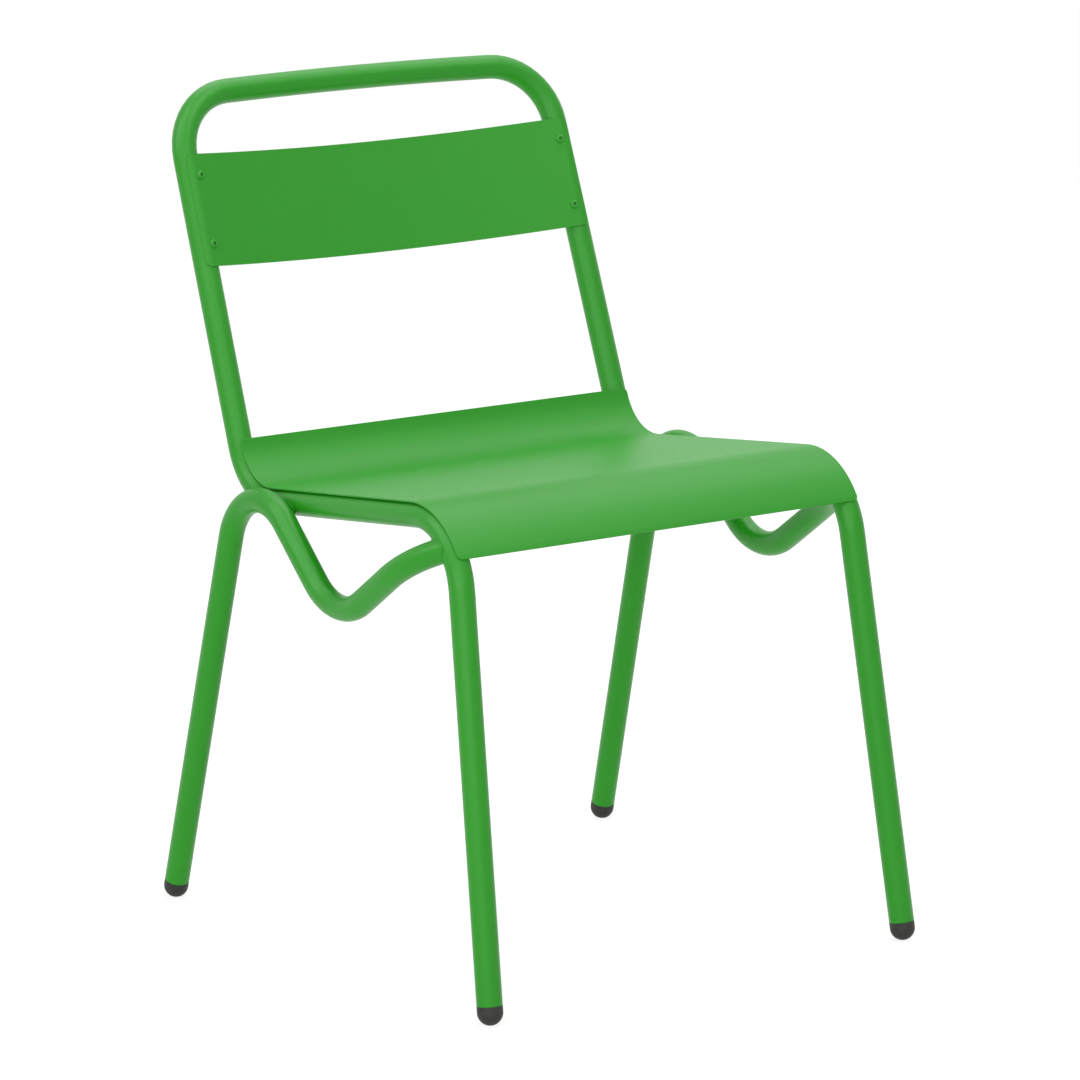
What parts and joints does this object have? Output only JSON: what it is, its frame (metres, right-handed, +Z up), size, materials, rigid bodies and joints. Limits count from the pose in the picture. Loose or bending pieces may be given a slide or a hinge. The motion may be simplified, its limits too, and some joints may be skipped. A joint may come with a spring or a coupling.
{
  "type": "metal chair",
  "caption": "Metal chair of bent round tube with a bent sheet seat, a curved sheet back held by rivets, braced rear legs and plastic foot plugs",
  "frame": {"origin": "on the floor, at the centre of the chair's overall width and depth", "axes": "+Z is up, the front is towards -Y, and +X is to the right as seen from the front"},
  "size_m": [0.5296, 0.609, 0.7978],
  "materials": {
    "tube_paint": "satin powder coat",
    "sheet_paint": "satin powder coat",
    "rivet_paint": "satin powder coat over a blind rivet",
    "weld_paint": "satin powder coat over a weld bead",
    "mandrel_steel": "dull broken steel under a thin coat",
    "foot_plastic": "moulded matte"
  },
  "bodies": {
    "root": {"hoop_tube": "tube_paint", "rear_leg_tube_left": "tube_paint", "rear_leg_tube_right": "tube_paint", "seat_panel": "sheet_paint", "back_panel": "sheet_paint", "back_rivet_upper_left": "rivet_paint", "rivet_mandrel_upper_left": "mandrel_steel", "back_rivet_upper_right": "rivet_paint", "rivet_mandrel_upper_right": "mandrel_steel", "back_rivet_lower_left": "rivet_paint", "rivet_mandrel_lower_left": "mandrel_steel", "back_rivet_lower_right": "rivet_paint", "rivet_mandrel_lower_right": "mandrel_steel", "foot_plug_front_left": "foot_plastic", "foot_plug_front_right": "foot_plastic", "foot_plug_rear_left": "foot_plastic", "foot_plug_rear_right": "foot_plastic", "apex_weld_left": "weld_paint", "brace_weld_left": "weld_paint", "seat_weld_left_1": "weld_paint", "seat_weld_left_2": "weld_paint", "seat_weld_left_3": "weld_paint", "apex_weld_right": "weld_paint", "brace_weld_right": "weld_paint", "seat_weld_right_1": "weld_paint", "seat_weld_right_2": "weld_paint", "seat_weld_right_3": "weld_paint"}
  },
  "joints": []
}
